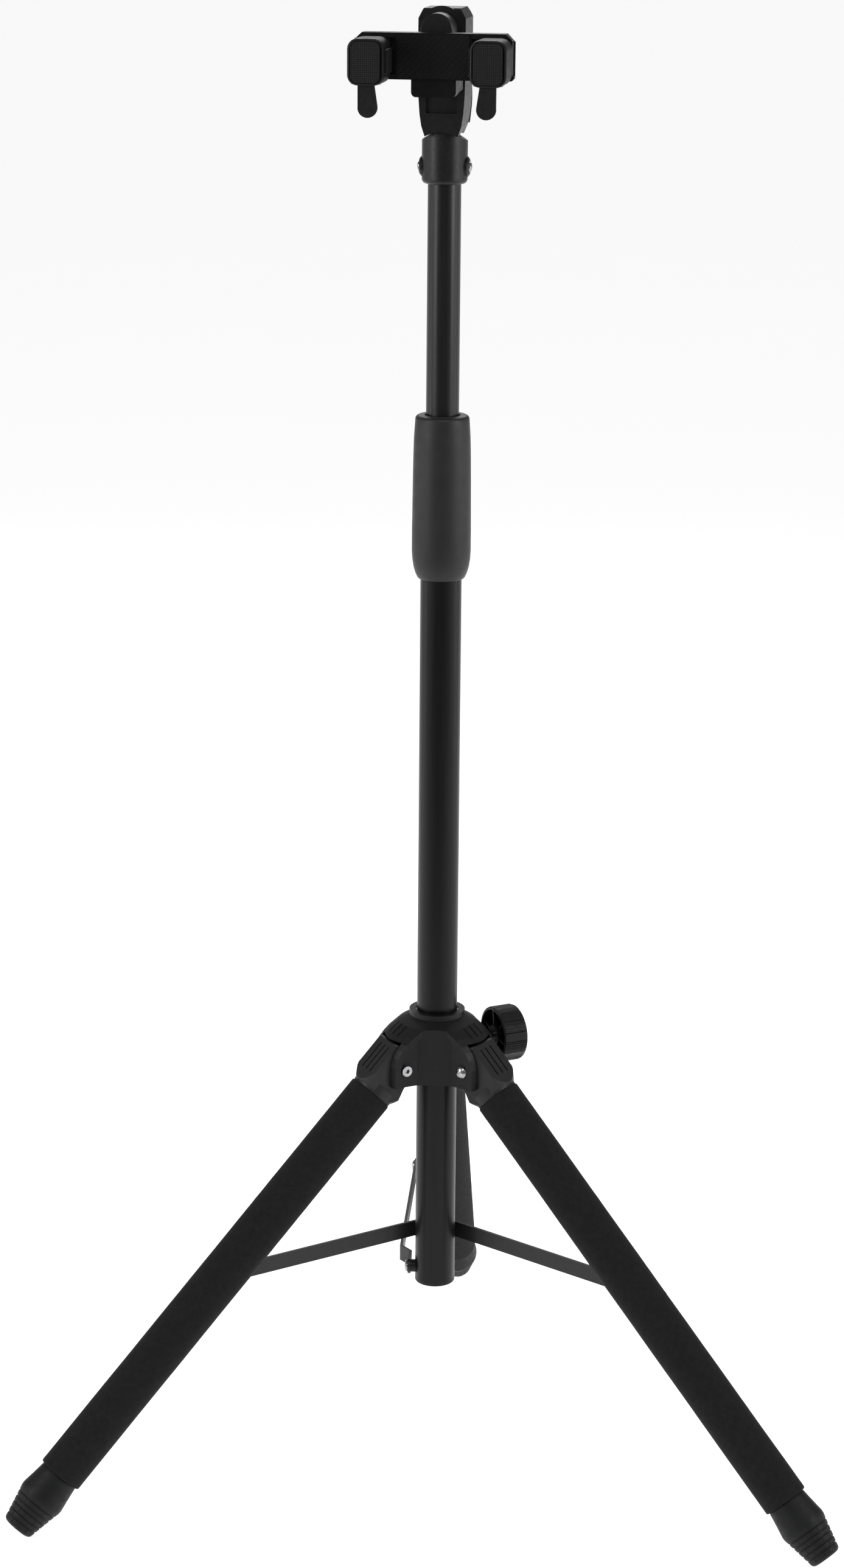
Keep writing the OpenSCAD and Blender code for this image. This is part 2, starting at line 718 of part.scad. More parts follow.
module brace(i) {
    len = strap_len[i];
    step = i == 2 ? rear_step : 0;
    color("#2a2a2c") on_strap(i) difference() {
        intersection() {
            translate([0, 0, -strap_w / 2]) linear_extrude(strap_w) polygon(strap_plan(len, step));
            along_y(0, 40) {
                for (x = [0, len]) translate([x, 0]) circle(strap_w / 2);
                translate([0, -strap_w / 2]) square([len, strap_w]);
            }
        }
        ycyl(rivet_r + run, 0, 40);
        translate([len, 0, 0]) ycyl(rivet_r, 0, 40);
    }
}

module leg_rivet(i) {
    step = i == 2 ? rear_step : 0;
    clear = foam_r + 0.5;
    color("silver") on_strap(i) translate([strap_len[i], 0, 0]) {
        ycyl(rivet_r, clear, strap_in + step + strap_t - clear + 0.1);
        rivet_head(strap_in + step + strap_t);
        if (step > 0) ycyl(rivet_head_r, clear, strap_in + step - clear);
    }
}

mast_tube();
mast_end_plug();
brace_spacers();
mast_rivets();
lock_bush();
lock_collet();
twist_sleeve();
twist_cone();
guide_bush();
upper_tube();
head_collar();
collar_screws();
tilt_arm();
pivot_flange();
rear_clip();
clamp_housing();
clamp_pad();
clamp_bracket();
pivot_boss();
pivot_screw();
clamp_springs();
slide(-1);  // slide_left
slide(1);  // slide_right
jaw(-1);  // jaw_left
jaw(1);  // jaw_right
jaw_pad(-1);  // jaw_pad_left
jaw_pad(1);  // jaw_pad_right
jaw_grip(-1);  // jaw_grip_left
jaw_grip(1);  // jaw_grip_right
tongue(-1);  // tongue_left
tongue(1);  // tongue_right
tongue_pin(-1);  // tongue_pin_left
tongue_pin(1);  // tongue_pin_right
hub_crown();
hub_liner();
leg_bolts();
leg_nuts();
knob_insert();
clamp_knob();
knob_stud();
knob_pad();
leg_socket(0);  // leg_socket_left
leg_socket(1);  // leg_socket_right
leg_socket(2);  // leg_socket_rear
leg_tube(0);  // leg_tube_left
leg_tube(1);  // leg_tube_right
leg_tube(2);  // leg_tube_rear
leg_foam(0);  // leg_foam_left
leg_foam(1);  // leg_foam_right
leg_foam(2);  // leg_foam_rear
leg_foot(0);  // leg_foot_left
leg_foot(1);  // leg_foot_right
leg_foot(2);  // leg_foot_rear
brace(0);  // brace_left
brace(1);  // brace_right
brace(2);  // brace_rear
leg_rivet(0);  // leg_rivet_left
leg_rivet(1);  // leg_rivet_right
leg_rivet(2);  // leg_rivet_rear
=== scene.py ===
import json
import math

import bmesh
import bpy
from mathutils import Matrix, Vector, noise


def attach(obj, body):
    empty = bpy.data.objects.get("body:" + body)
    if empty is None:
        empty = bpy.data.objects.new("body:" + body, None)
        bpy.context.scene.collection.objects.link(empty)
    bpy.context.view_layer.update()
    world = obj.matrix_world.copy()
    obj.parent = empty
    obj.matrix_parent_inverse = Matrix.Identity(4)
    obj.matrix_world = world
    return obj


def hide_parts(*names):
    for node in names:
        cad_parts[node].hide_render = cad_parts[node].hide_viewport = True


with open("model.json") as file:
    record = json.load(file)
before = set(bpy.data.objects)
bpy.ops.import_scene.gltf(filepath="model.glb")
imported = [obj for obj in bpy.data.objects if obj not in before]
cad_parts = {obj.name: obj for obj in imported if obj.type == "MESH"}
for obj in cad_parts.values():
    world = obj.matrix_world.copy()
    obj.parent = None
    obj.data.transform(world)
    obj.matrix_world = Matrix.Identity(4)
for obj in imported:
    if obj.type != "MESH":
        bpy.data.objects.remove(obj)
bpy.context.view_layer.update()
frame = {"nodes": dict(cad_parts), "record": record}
MM = 0.001
LEGS = {"left": 215.0, "right": 335.0, "rear": 95.0}     # each leg's direction, in degrees about Z
SLOPE = math.radians(45.66)       # a leg's slope below the level
PIVOT_R, PIVOT_Z = 29.0, 266.6    # a leg's pivot, from the mast's axis and from the floor


# ---- materials ----

class Net:
    """A node material under construction, on object coordinates in metres."""

    def __init__(self, name, base, rough, metallic=0.0, specular=0.5):
        self.m = bpy.data.materials.new(name)
        self.m.use_nodes = True
        self.t = self.m.node_tree
        self.b = self.t.nodes["Principled BSDF"]
        self.b.inputs["Base Color"].default_value = (*base, 1)
        self.b.inputs["Roughness"].default_value = rough
        self.b.inputs["Metallic"].default_value = metallic
        self.b.inputs["Specular IOR Level"].default_value = specular
        self.base, self.rough = base, rough
        self.co = self.node("ShaderNodeTexCoord").outputs["Object"]

    def node(self, kind, **values):
        n = self.t.nodes.new(kind)
        for k, v in values.items():
            n.inputs[k].default_value = v
        return n

    def link(self, a, b):
        self.t.links.new(a, b)

    def mapped(self, rot=(0, 0, 0), scale=(1, 1, 1)):
        mp = self.node("ShaderNodeMapping")
        mp.inputs["Rotation"].default_value = [math.radians(a) for a in rot]
        mp.inputs["Scale"].default_value = scale
        self.link(self.co, mp.inputs["Vector"])
        return mp.outputs["Vector"]

    def noise(self, scale, detail=4, vector=None, rough=0.5):
        n = self.node("ShaderNodeTexNoise", Scale=scale, Detail=detail, Roughness=rough)
        self.link(vector or self.co, n.inputs["Vector"])
        return n.outputs["Fac"]

    def cells(self, scale):
        n = self.node("ShaderNodeTexVoronoi", Scale=scale)
        self.link(self.co, n.inputs["Vector"])
        return n.outputs["Distance"]

    def wave(self, scale, vector, direction="X"):
        n = self.node("ShaderNodeTexWave", Scale=scale)
        n.bands_direction = direction
        self.link(vector, n.inputs["Vector"])
        return n.outputs["Fac"]

    def math(self, op, a, b):
        n = self.node("ShaderNodeMath")
        n.operation = op
        for i, v in enumerate((a, b)):
            if isinstance(v, (int, float)):
                n.inputs[i].default_value = v
            else:
                self.link(v, n.inputs[i])
        return n.outputs[0]

    def spread(self, value, low, high, lo=0.3, hi=0.7):
        n = self.node("ShaderNodeMapRange")
        self.link(value, n.inputs["Value"])
        for k, v in (("From Min", lo), ("From Max", hi), ("To Min", low), ("To Max", high)):
            n.inputs[k].default_value = v
        return n.outputs["Result"]

    def tint(self, value, low=0.85, high=1.2, lo=0.3, hi=0.7):
        """The base colour, darker to lighter where value goes low to high."""
        ramp = self.node("ShaderNodeValToRGB")
        ramp.color_ramp.elements[0].position, ramp.color_ramp.elements[1].position = lo, hi
        ramp.color_ramp.elements[0].color = (*[c * low for c in self.base], 1)
        ramp.color_ramp.elements[1].color = (*[min(1, c * high) for c in self.base], 1)
        self.link(value, ramp.inputs["Fac"])
        self.link(ramp.outputs["Color"], self.b.inputs["Base Color"])

    def vary_rough(self, value, by=0.06):
        self.link(self.spread(value, self.rough - by, self.rough + by), self.b.inputs["Roughness"])

    def bump(self, *layers):
        """layers are (height, depth in metres, strength), the finest last."""
        normal = None
        for height, depth, strength in layers:
            n = self.node("ShaderNodeBump", Strength=strength, Distance=depth)
            self.link(height, n.inputs["Height"])
            if normal:
                self.link(normal, n.inputs["Normal"])
            normal = n.outputs["Normal"]
        self.link(normal, self.b.inputs["Normal"])

    def socket(self, name, value):
        self.b.inputs[name].default_value = value


def painted_tube(name, base, specular):
    n = Net(name, base, 0.33, specular=specular)
    streak = n.noise(900, 3, n.mapped(scale=(1, 1, 0.02)))
    n.tint(n.noise(35, 5), 0.88, 1.14)
    n.vary_rough(streak, 0.05)
    n.bump((n.noise(220, 2), 0.00006, 0.25), (n.noise(3200, 2), 0.00002, 0.35))
    return n.m


def moulded(name="moulded_plastic", base=(0.0038, 0.0038, 0.0042), rough=0.46, grain=2600, depth=0.00004,
            specular=0.22):
    n = Net(name, base, rough, specular=specular)
    n.tint(n.noise(60, 5), 0.86, 1.16)
    n.vary_rough(n.noise(420, 4), 0.07)
    n.bump((n.noise(90, 3), 0.0001, 0.12), (n.cells(grain), depth, 0.45),
           (n.noise(grain * 2, 2), depth / 2, 0.4))
    return n.m


def soft_touch():
    n = Net("soft_touch_grip", (0.0085, 0.0080, 0.0083), 0.5, specular=0.32)
    n.tint(n.noise(24, 5), 0.9, 1.14)
    n.vary_rough(n.noise(150, 4), 0.05)
    n.bump((n.noise(1800, 3), 0.00003, 0.3))
    n.socket("Sheen Weight", 0.03)
    n.socket("Sheen Roughness", 0.4)
    return n.m


def bright(name="bright_plated_steel", base=(0.34, 0.34, 0.35), rough=0.2):
    n = Net(name, base, rough, metallic=1.0)
    n.tint(n.noise(700, 4), 0.72, 1.1)
    n.vary_rough(n.noise(2600, 3), 0.09)
    n.bump((n.noise(1500, 3), 0.00004, 0.3))
    return n.m


def black_steel():
    n = Net("black_strap_paint", (0.007, 0.007, 0.0075), 0.4, specular=0.35)
    n.tint(n.noise(80, 5), 0.85, 1.25)
    n.vary_rough(n.noise(600, 4), 0.08)
    n.bump((n.noise(300, 3), 0.00006, 0.3), (n.noise(2800, 2), 0.00002, 0.4))
    return n.m


def bearing():
    n = Net("bearing_plastic", (0.62, 0.60, 0.54), 0.38)
    n.tint(n.noise(120, 4), 0.92, 1.05)
    n.vary_rough(n.noise(500, 3), 0.06)
    n.bump((n.noise(1500, 3), 0.00004, 0.3))
    return n.m


def foam():
    n = Net("closed_cell_foam", (0.0080, 0.0080, 0.0081), 0.85, specular=0.12)
    n.tint(n.noise(260, 6, rough=0.65), 0.78, 1.28)
    n.vary_rough(n.noise(500, 3), 0.06)
    n.bump((n.noise(110, 4), 0.0004, 0.35), (n.cells(1400), 0.00018, 0.6), (n.noise(4200, 3), 0.00008, 0.6))
    n.socket("Sheen Weight", 0.012)
    n.socket("Sheen Roughness", 0.5)
    return n.m


def rubber():
    n = Net("foot_rubber", (0.0038, 0.0040, 0.0044), 0.55, specular=0.2)
    n.tint(n.noise(90, 5), 0.8, 1.25)
    n.vary_rough(n.noise(320, 4), 0.08)
    n.bump((n.noise(160, 4), 0.00015, 0.3), (n.noise(2400, 3), 0.00004, 0.5))
    return n.m


def weave_rubber():
    """Diagonal fine twill moulded into the pad between the jaws, with painted shade in its grooves and a
    painted highlight on its threads.
    """
    n = Net("twill_pad_rubber", (0.0016, 0.0014, 0.0014), 0.5, specular=0.14)
    d = n.mapped(rot=(0, 45, 0))
    twill = n.math("MULTIPLY", n.wave(230, d, "X"), n.spread(n.wave(115, d, "Z"), 0.55, 1.0, 0, 1))
    # painted shade and highlight: the base colour follows the twill's relief, darker in its grooves and
    # lighter on its raised threads
    n.tint(twill, 0.55, 2.3, 0.1, 0.9)
    n.vary_rough(n.noise(500, 3), 0.05)
    n.bump((twill, 0.00035, 0.7), (n.noise(3000, 2), 0.00003, 0.4))
    return n.m


def grid_rubber():
    """Fine square grid on the jaw's front pads, with painted shade in its grooves and a painted lighter tone
    on its raised squares.
    """
    n = Net("grid_pad_rubber", (0.0042, 0.0041, 0.0042), 0.5, specular=0.18)
    grid = n.math("MINIMUM", n.wave(260, n.co, "X"), n.wave(260, n.co, "Z"))
    # painted shade and highlight: the base colour follows the grid's relief, darker in its grooves and
    # lighter on its raised squares
    n.tint(grid, 0.5, 1.5, 0.05, 0.5)
    n.vary_rough(n.noise(500, 3), 0.05)
    n.bump((grid, 0.0003, 0.6), (n.noise(3000, 2), 0.00003, 0.4))
    return n.m


def ribbed_rubber():
    n = Net("ribbed_grip_rubber", (0.0045, 0.0045, 0.0048), 0.55, specular=0.22)
    ribs = n.wave(100, n.co, "Y")
    # painted shade and highlight: the base colour follows the ribs' relief, darker in their valleys and
    # lighter on their crests
    n.tint(ribs, 0.8, 1.25, 0.1, 0.9)
    n.vary_rough(n.noise(500, 3), 0.05)
    n.bump((ribs, 0.0004, 0.8), (n.noise(3000, 2), 0.00003, 0.4))
    return n.m


M = {
    "black_tube": painted_tube("satin_painted_tube", (0.0026, 0.0026, 0.0028), 0.19),
    "black_plastic": moulded(),
    "soft_touch": soft_touch(),
    "bright_steel": bright(),
    "black_steel": black_steel(),
    "bearing_plastic": bearing(),
    "brass": bright("machined_brass", (0.66, 0.46, 0.17), 0.3),
    "leg_metal": bright("drawn_aluminium", (0.5, 0.5, 0.52), 0.42),
    "foam": foam(),
    "foot_rubber": rubber(),
    "clamp_plastic": moulded("clamp_plastic", (0.0033, 0.0031, 0.0032), 0.42, 3200, 0.00003, 0.17),
    "head_plastic": moulded("head_plastic", (0.0060, 0.0057, 0.0060), 0.4, 3400, 0.00003, 0.27),
    "socket_plastic": moulded("socket_plastic", (0.0075, 0.0075, 0.0080), 0.48, 2200, 0.00005, 0.3),
}

SLOT = {s["node"]: s["material_slot"] for s in frame["record"]["subparts"]}
OWN = {
    "upper_tube": painted_tube("gloss_upper_tube", (0.0045, 0.0042, 0.0041), 0.3),
    "clamp_pad": weave_rubber(),
    "jaw_pad_left": grid_rubber(),
    "jaw_grip_left": ribbed_rubber(),
}
OWN["jaw_pad_right"], OWN["jaw_grip_right"] = OWN["jaw_pad_left"], OWN["jaw_grip_left"]
for node in ("clamp_housing", "clamp_bracket", "slide_left", "slide_right"):
    OWN[node] = M["clamp_plastic"]
for node in ("tilt_arm", "pivot_boss", "pivot_flange", "head_collar", "tongue_left", "tongue_right"):
    OWN[node] = M["head_plastic"]
for side in LEGS:
    OWN["leg_socket_" + side] = M["socket_plastic"]

for node, obj in frame["nodes"].items():
    obj.data.materials.clear()
    obj.data.materials.append(OWN.get(node, M[SLOT[node]]))


def soften(node, width, segments, angle):
    """Rounds a CAD node's hard edges as its mould or tumbling would."""
    o = frame["nodes"][node]
    b = o.modifiers.new("edge", "BEVEL")
    b.width, b.segments, b.limit_method, b.angle_limit = width * MM, segments, "ANGLE", math.radians(angle)
    b.use_clamp_overlap, b.harden_normals = True, False
    w = o.modifiers.new("shading", "WEIGHTED_NORMAL")
    w.keep_sharp = False


# ---- mesh helpers ----

def mesh_piece(name, verts, faces, material, place=None, sharp=35):
    me = bpy.data.meshes.new(name)
    if place is not None:
        verts = [place @ Vector(v) for v in verts]
    me.from_pydata([tuple(c * MM for c in v) for v in verts], [], faces)
    me.update()
    me.materials.append(material)
    for p in me.polygons:
        p.use_smooth = True
    me.set_sharp_from_angle(angle=math.radians(sharp))
    o = bpy.data.objects.new(name, me)
    bpy.context.scene.collection.objects.link(o)
    return o


def clean(o, merge=False):
    """Turns every face outwards, and joins points that coincide where asked."""
    bm = bmesh.new()
    bm.from_mesh(o.data)
    if merge:
        bmesh.ops.remove_doubles(bm, verts=bm.verts, dist=1e-6)
    bmesh.ops.recalc_face_normals(bm, faces=bm.faces)
    bm.to_mesh(o.data)
    bm.free()


def lathe(name, profile, material, place=None, steps=128, radius=None, sharp=35):
    """Turns a closed profile of (distance along, radius) about the local X axis.

    radius(along, r, angle) gives another radius where there are ribs and grooves."""
    n = len(profile)
    verts, faces = [], []
    for k in range(steps):
        a = 2 * math.pi * k / steps
        for x, r in profile:
            rr = radius(x, r, a) if radius else r
            verts.append((x, rr * math.cos(a), rr * math.sin(a)))
    for k in range(steps):
        j = (k + 1) % steps
        for i in range(n):
            i2 = (i + 1) % n
            faces.append((k * n + i, k * n + i2, j * n + i2, j * n + i))
    o = mesh_piece(name, verts, faces, material, place, sharp)
    clean(o, merge=True)
    o.data.set_sharp_from_angle(angle=math.radians(sharp))
    return o


def leg_place(side):
    """Local X down the leg from its pivot, local Z upwards and outwards."""
    return (Matrix.Rotation(math.radians(LEGS[side]), 4, "Z") @ Matrix.Translation((PIVOT_R, 0, PIVOT_Z))
            @ Matrix.Rotation(SLOPE, 4, "Y"))


def rounded_loop(w, h, r, per=7):
    """Points round a rectangle with round corners, centred, as (x, z)."""
    pts = []
    x, z = w / 2 - r, h / 2 - r
    for cx, cz, a0 in ((x, z, 0), (-x, z, 90), (-x, -z, 180), (x, -z, 270)):
        for i in range(per + 1):
            a = math.radians(a0 + 90 * i / per)
            pts.append((cx + r * math.cos(a), cz + r * math.sin(a)))
    return pts


def steps_between(a, b, n):
    return [a + (b - a) * i / n for i in range(n + 1)]


# ---- foam and feet ----

FOAM_START, FOAM_END, FOAM_R = 23.5, 323.7, 14.2
LEG_BORE_R = 9.6                  # inside of the foam and the foot, over the leg's tube


def foam_piece(side):
    """Foam sleeve with softly rounded ends and a surface that is very slightly uneven."""
    profile = [(FOAM_START + 0.1, LEG_BORE_R), (FOAM_START + 0.1, FOAM_R - 1.0),
               (FOAM_START + 0.35, FOAM_R - 0.35), (FOAM_START + 1.0, FOAM_R)]
    profile += [(x, FOAM_R) for x in steps_between(FOAM_START + 3, FOAM_END - 3, 90)]
    profile += [(FOAM_END - 1.0, FOAM_R), (FOAM_END - 0.35, FOAM_R - 0.35),
                (FOAM_END - 0.1, FOAM_R - 1.0), (FOAM_END - 0.1, LEG_BORE_R)]
    seed = LEGS[side]

    def uneven(x, r, a):
        if r < FOAM_R - 2:
            return r
        p = Vector((x * 0.035 + seed, math.cos(a) * 0.9, math.sin(a) * 0.9))
        return r + 0.10 * noise.noise(p) + 0.05 * noise.noise(p * 4.1) - 0.04

    o = lathe("foam_sleeve_" + side, profile, M["foam"], leg_place(side), 96, uneven, 50)
    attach(o, "leg_" + side)
    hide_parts("leg_foam_" + side)


NECK_START, NECK_END, NECK_R, CROWN_R = 324.6, 339.6, 12.62, 14.62
TREAD_START, TREAD_R, TIP_R, TIP_ROUND, TIP_FLAT_R = 343.0, 14.25, 10.25, 3.0, 7.3
RING_FIRST, RING_PITCH, RINGS, RING_HALF, RING_DEEP = 345.2, 3.55, 5, 0.38, 0.45
BLOCKS, BLOCK_GAP, BLOCK_DEEP = 12, 0.045, 0.22
TUBE_END = 330.0


def foot_piece(side):
    """Rubber foot: smooth neck, a crown, then a tread of rings cut into blocks down to the tip."""
    tip = TIP_ROUND + (PIVOT_Z - TIP_ROUND - TIP_FLAT_R * math.cos(SLOPE)) / math.sin(SLOPE)
    tread_end = tip - TIP_ROUND
    prof = [(TUBE_END, LEG_BORE_R), (FOAM_END + 0.05, LEG_BORE_R), (FOAM_END + 0.05, 12.3),
            (NECK_START, NECK_R)]
    for x in steps_between(326, NECK_END, 8):
        prof.append((x, NECK_R + (CROWN_R - NECK_R) * ((x - NECK_START) / (NECK_END - NECK_START)) ** 1.15))
    prof += [(341.0, CROWN_R), (342.2, 14.5), (TREAD_START, 14.3)]
    for x in steps_between(343.4, tread_end, 54):
        t = (x - TREAD_START) / (tread_end - TREAD_START)
        prof.append((x, TREAD_R + (TIP_R - TREAD_R) * t))
    for a in range(10, 91, 10):
        turn = math.radians(a)
        prof.append((tread_end + TIP_ROUND * math.sin(turn), TIP_FLAT_R + TIP_ROUND * math.cos(turn) - 0.05))
    prof += [(tip, 4.0), (tip - 1.2, 3.6), (tip - 1.2, 0.01), (TUBE_END, 0.01)]
    rings = [RING_FIRST + RING_PITCH * k for k in range(RINGS)]

    def tread_radius(x, r, a):
        if x < TREAD_START + 0.2 or r < 8.0 or x > tip - 1.0:
            return r
        if any(abs(x - ring) < RING_HALF for ring in rings):
            return r - RING_DEEP
        band = sum(1 for ring in rings if x > ring)
        if band == 0:
            return r
        pitch = 2 * math.pi / BLOCKS
        off = ((a + (band % 2) * pitch / 2) % pitch) / pitch
        return r - BLOCK_DEEP if abs(off - 0.5) < BLOCK_GAP else r

    o = lathe("tread_foot_" + side, prof, M["foot_rubber"], leg_place(side), 192, tread_radius, 30)
    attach(o, "leg_" + side)
    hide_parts("leg_foot_" + side)


for side in LEGS:
    foam_piece(side)
    foot_piece(side)


# ---- twist sleeve ----

def grip_piece():
    """The sleeve's outside in a fine smooth profile, with a lead-in bevel and a rolled top rim."""
    outer = [(573.0, 13.3), (573.15, 13.9), (573.8, 14.5), (576.4, 15.7), (580.2, 16.8), (585, 17.5),
             (590, 17.82), (603, 17.8), (618, 17.65), (633, 17.5), (645, 17.35), (653, 17.2), (660, 16.95),
             (665.5, 16.6)]
    rim_z, rim_r, rim_round = 670.1, 13.7, 2.6
    rim = [(rim_z + rim_round * math.sin(math.radians(a)), rim_r + rim_round * math.cos(math.radians(a)))
           for a in range(10, 91, 8)]
    inner = [(673.2, 12), (672.7, 10.7), (671, 10.35), (660, 10.35), (660, 14.6), (599.6, 14.6),
             (599.6, 12.7), (573.0, 12.7)]
    up = Matrix.Rotation(-math.pi / 2, 4, "Y")
    o = lathe("twist_grip", outer + rim + inner, M["soft_touch"], up, 160, None, 40)
    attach(o, "twist_lock")
    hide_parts("twist_sleeve")


grip_piece()


# ---- knob ----

KNOB_Z, KNOB_AZ = 275.0, 35.0
KNOB_R, KNOB_FLOOR = 17.7, 44.6   # its outside, and how far out its cup's floor lies
RIB_MIN_R, RIB_START, RIB_END = 16.6, 40.4, 54.6     # ribs lie outside this radius, between these two
RIB_GROUP, RIB_SHARE, RIBS, RIB_DEEP, FLAT_DEEP = 45, 0.62, 6, 0.5, 0.4
WEBS = 6


def knob_ribs(x, r, a):
    """Groups of fine ribs with a shallow flat after each."""
    if r < RIB_MIN_R or x < RIB_START or x > RIB_END:
        return r
    turn = (math.degrees(a) % RIB_GROUP) / RIB_GROUP
    if turn < RIB_SHARE:
        rib = abs(((turn / RIB_SHARE * RIBS) % 1) - 0.5) * 2
        return r - (RIB_DEEP if rib > 0.5 else 0.0)
    dip = (turn - RIB_SHARE) / (1 - RIB_SHARE)
    return r - FLAT_DEEP * math.sin(math.pi * dip) ** 0.8


def knob_web(k, place):
    """One thin web in the cup, from the knob's hub to its wall, lower towards the wall."""
    inner, outer, edge, root = 5.9, 15.6, 0.55, 0.75     # reach, and half its thickness at each side
    top, floor, fall = 40.8, 44.7, 0.6
    v = [(top, inner, -edge), (top, inner, edge), (top + fall, outer, edge), (top + fall, outer, -edge),
         (floor, inner, -root), (floor, inner, root), (floor, outer, root), (floor, outer, -root)]
    f = [(0, 1, 2, 3), (7, 6, 5, 4), (0, 4, 5, 1), (1, 5, 6, 2), (2, 6, 7, 3), (3, 7, 4, 0)]
    turn = place @ Matrix.Rotation(math.radians(360 / WEBS * k + 15), 4, "X")
    return mesh_piece("knob_web_%d" % k, v, f, M["black_plastic"], turn, 30)


def knob_piece():
    """Cup-shaped knob, open towards the hub, with a hub and webs inside."""
    place = Matrix.Rotation(math.radians(KNOB_AZ), 4, "Z") @ Matrix.Translation((0, 0, KNOB_Z))
    prof = [(39.6, 15.8), (39.6, 16.9), (39.9, 17.4), (40.6, 17.65)]
    prof += [(x, KNOB_R) for x in steps_between(41.2, 53.6, 6)]
    prof += [(54.4, 17.5), (55.2, 17.0), (55.8, 16.2), (56.0, 15.2), (55.9, 13.5), (55.45, 12.9),
             (55.4, 0.01), (KNOB_FLOOR, 0.01), (KNOB_FLOOR, 15.3), (KNOB_FLOOR - 0.4, 15.8)]
    o = lathe("clamping_knob", prof, M["black_plastic"], place, 360, knob_ribs, 28)
    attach(o, "knob")
    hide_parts("clamp_knob")
    hub_prof = [(39.8, 3.1), (39.8, 5.6), (40.2, 6.0), (44.7, 6.2), (44.7, 3.1)]
    hub = lathe("knob_hub", hub_prof, M["black_plastic"], place, 64)
    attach(hub, "knob")
    for k in range(WEBS):
        web = knob_web(k, place)
        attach(web, "knob")


knob_piece()


# ---- jaws ----

JAW_X, JAW_MID, JAW_H, JAW_W = 35.0, 885.25, 26.5, 21.2
GROOVES, GROOVE_FIRST, GROOVE_PITCH, GROOVE_DEEP = 7, -71.9, 2.9, 0.55
SLOT_HALF, SLOT_FRONT, SLOT_BACK, SLOT_DEEP = 7.2, -75.0, -52.5, 4.2


def cut_slot(jaw, sign):
    """Cuts the underside slot that the tongue folds up into."""
    low = JAW_MID - JAW_H / 2
    x0, x1 = sign * JAW_X - SLOT_HALF, sign * JAW_X + SLOT_HALF
    z0, z1 = low - 2, low + SLOT_DEEP
    corners = [(x, y, z) for x in (x0, x1) for y in (SLOT_FRONT, SLOT_BACK) for z in (z0, z1)]
    sides = [(0, 1, 3, 2), (4, 6, 7, 5), (0, 4, 5, 1), (2, 3, 7, 6), (0, 2, 6, 4), (1, 5, 7, 3)]
    cutter = mesh_piece("slot_cutter", corners, sides, M["clamp_plastic"])
    b = jaw.modifiers.new("slot", "BOOLEAN")
    b.operation, b.solver, b.object = "DIFFERENCE", "EXACT", cutter
    bpy.context.view_layer.update()
    cut = bpy.data.meshes.new_from_object(jaw.evaluated_get(bpy.context.evaluated_depsgraph_get()))
    jaw.modifiers.clear()
    jaw.data = cut
    bpy.data.objects.remove(cutter)


def jaw_piece(side, sign):
    """A jaw: round-cornered body with ribs running round it, a raised front rim and a sunk front."""
    verts, faces = [], []
    # Each station is (y, how far its outline is drawn in, its corners' radius)
    stations = [(-74.9, 3.2, 3.6), (-75.0, 2.1, 4.4), (-75.75, 1.75, 4.7), (-75.95, 1.35, 5.0),
                (-75.9, 0.85, 5.4), (-75.5, 0.3, 5.8), (-74.8, 0.0, 6.0), (-72.2, 0.0, 6.0)]
    for k in range(GROOVES):
        y = GROOVE_FIRST + GROOVE_PITCH * k
        stations += [(y, 0.0, 6.0), (y + 0.25, GROOVE_DEEP, 5.6), (y + 0.75, GROOVE_DEEP, 5.6),
                     (y + 1.0, 0.0, 6.0)]
    stations += [(-51.2, 0.0, 6.0), (-50.3, 0.3, 5.8), (-50.0, 0.9, 5.4)]
    for y, inset, r in stations:
        for x, z in rounded_loop(JAW_W - 2 * inset, JAW_H - 2 * inset, r):
            verts.append((sign * JAW_X + x, y, JAW_MID + z))
    n = len(verts) // len(stations)
    for s in range(len(stations) - 1):
        for i in range(n):
            j = (i + 1) % n
            faces.append((s * n + i, s * n + j, (s + 1) * n + j, (s + 1) * n + i))
    faces.append(tuple(range(n)))
    faces.append(tuple(reversed(range((len(stations) - 1) * n, len(stations) * n))))
    o = mesh_piece("jaw_body_" + side, verts, faces, M["clamp_plastic"], None, 30)
    clean(o)
    cut_slot(o, sign)
    o.data.set_sharp_from_angle(angle=math.radians(30))
    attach(o, "jaw_" + side)
    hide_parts("jaw_" + side)


for side, sign in (("left", -1), ("right", 1)):
    jaw_piece(side, sign)


# ---- CAD nodes that stay ----

# (bevel width, segments, smallest angle, nodes)
SOFTENED = (
    (0.2, 2, 28, ("mast_tube", "brace_spacers", "mast_rivets", "collar_screws", "pivot_screw", "leg_bolts",
                  "leg_rivet_left", "leg_rivet_right", "leg_rivet_rear")),
    (0.55, 3, 30, ("hub_crown",)),
    (0.45, 3, 30, ("leg_socket_left", "leg_socket_right", "leg_socket_rear")),
    (0.6, 3, 25, ("tilt_arm", "clamp_housing", "clamp_bracket")),
    (0.3, 2, 30, ("pivot_flange", "pivot_boss", "slide_left", "slide_right", "tongue_left", "tongue_right",
                  "brace_left", "brace_right", "brace_rear", "rear_clip", "clamp_pad")),
)
for width, segments, angle, nodes in SOFTENED:
    for node in nodes:
        soften(node, width, segments, angle)


# ---- stage, light and camera ----

FLOOR_DROP = 0.0002               # keeps the floor clear of the feet's lowest points


def plane(name, low, high, material):
    me = bpy.data.meshes.new(name)
    me.from_pydata([(low[0], low[1], 0), (high[0], low[1], 0), (high[0], high[1], 0), (low[0], high[1], 0)],
                   [], [(0, 1, 2, 3)])
    me.materials.append(material)
    o = bpy.data.objects.new(name, me)
    o.location = (0, 0, -FLOOR_DROP)
    bpy.context.scene.collection.objects.link(o)


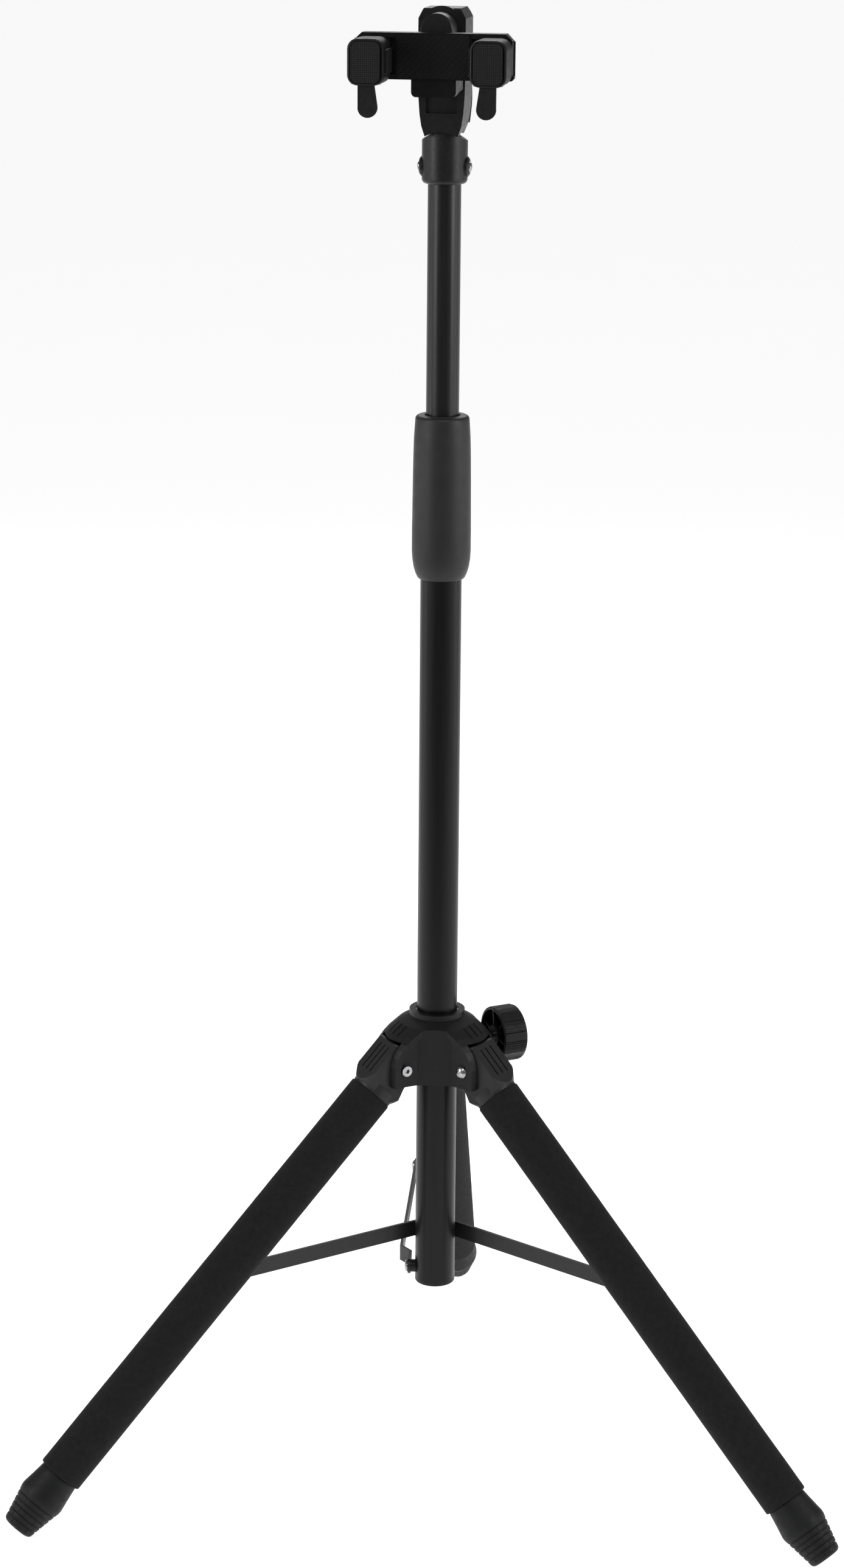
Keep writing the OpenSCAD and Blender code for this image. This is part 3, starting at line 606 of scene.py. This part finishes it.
floor_net = Net("pale_floor", (0.86, 0.86, 0.86), 0.8, specular=0.05)
floor_net.tint(floor_net.noise(3, 2), 0.99, 1.0)
floor_net.socket("Emission Color", (1.0, 1.0, 1.0, 1))
floor_net.socket("Emission Strength", 0.72)
plane("studio_floor", (-12.0, -0.95), (12.0, 24.0), floor_net.m)

# The studio is dim all round, and only its backdrop, which the lens sees directly, is white
world = bpy.data.worlds.new("studio")
world.use_nodes = True
wt = world.node_tree
dim = wt.nodes["Background"]
dim.inputs["Color"].default_value, dim.inputs["Strength"].default_value = (1, 1, 1, 1), 0.26
drop = wt.nodes.new("ShaderNodeBackground")
drop.inputs["Color"].default_value, drop.inputs["Strength"].default_value = (1, 1, 1, 1), 1.0
path, mix = wt.nodes.new("ShaderNodeLightPath"), wt.nodes.new("ShaderNodeMixShader")
wt.links.new(path.outputs["Is Camera Ray"], mix.inputs["Fac"])
wt.links.new(dim.outputs[0], mix.inputs[1])
wt.links.new(drop.outputs[0], mix.inputs[2])
wt.links.new(mix.outputs[0], wt.nodes["World Output"].inputs["Surface"])
bpy.context.scene.world = world
bpy.context.scene.view_settings.view_transform = "Standard"

# The camera and the lights stand round the object by this much from its own front
TURN = math.radians(8.26)


def turned(v):
    return Matrix.Rotation(TURN, 4, "Z") @ Vector(v)


def area(name, place, target, size, power, size_y=None):
    lamp = bpy.data.lights.new(name, "AREA")
    lamp.energy, lamp.size = power, size
    if size_y:
        lamp.shape, lamp.size_y = "RECTANGLE", size_y
    o = bpy.data.objects.new(name, lamp)
    place, target = turned(place), Vector(target)
    o.matrix_world = (target - place).to_track_quat("-Z", "Y").to_matrix().to_4x4()
    o.location = place
    bpy.context.scene.collection.objects.link(o)


area("left_box", (-1.35, -0.75, 1.05), (0, 0, 0.75), 0.6, 15, 1.1)
area("right_box", (1.35, -0.65, 1.05), (0, 0, 0.75), 0.6, 14, 1.1)
area("left_low", (-1.6, 0.1, 0.5), (0, 0, 0.3), 0.5, 2.2, 0.9)
area("right_low", (1.6, 0.1, 0.5), (0, 0, 0.3), 0.5, 2.2, 0.9)
area("top_front", (0.1, -1.5, 2.4), (0, 0, 0.6), 1.2, 12)
area("back_top", (0.0, 1.6, 1.9), (0, 0, 0.6), 1.2, 16)


def camera():
    """The camera at the photograph's angle, found by fitting it to the object's main points."""
    pitch, yaw, roll = math.radians(13.91), math.radians(-0.31), math.radians(0.45)
    fwd = Vector((math.sin(yaw) * math.cos(pitch), math.cos(yaw) * math.cos(pitch), -math.sin(pitch)))
    right0 = Vector((math.cos(yaw), -math.sin(yaw), 0))
    up0 = right0.cross(fwd)
    right = right0 * math.cos(roll) + up0 * math.sin(roll)
    up = up0 * math.cos(roll) - right0 * math.sin(roll)
    c = bpy.data.cameras.new("photo_camera")
    c.sensor_fit, c.sensor_width, c.sensor_height = "AUTO", 36.0, 36.0
    c.lens = 81.503
    c.shift_y = -0.05939
    c.clip_start, c.clip_end = 0.05, 50
    o = bpy.data.objects.new("photo_camera", c)
    right, up, back = turned(right), turned(up), turned(-fwd)
    at = turned((0.0004, -2.103, 1.023))
    o.matrix_world = Matrix(((right.x, up.x, back.x, at.x), (right.y, up.y, back.y, at.y),
                             (right.z, up.z, back.z, at.z), (0, 0, 0, 1)))
    bpy.context.scene.collection.objects.link(o)
    bpy.context.scene.camera = o


camera()
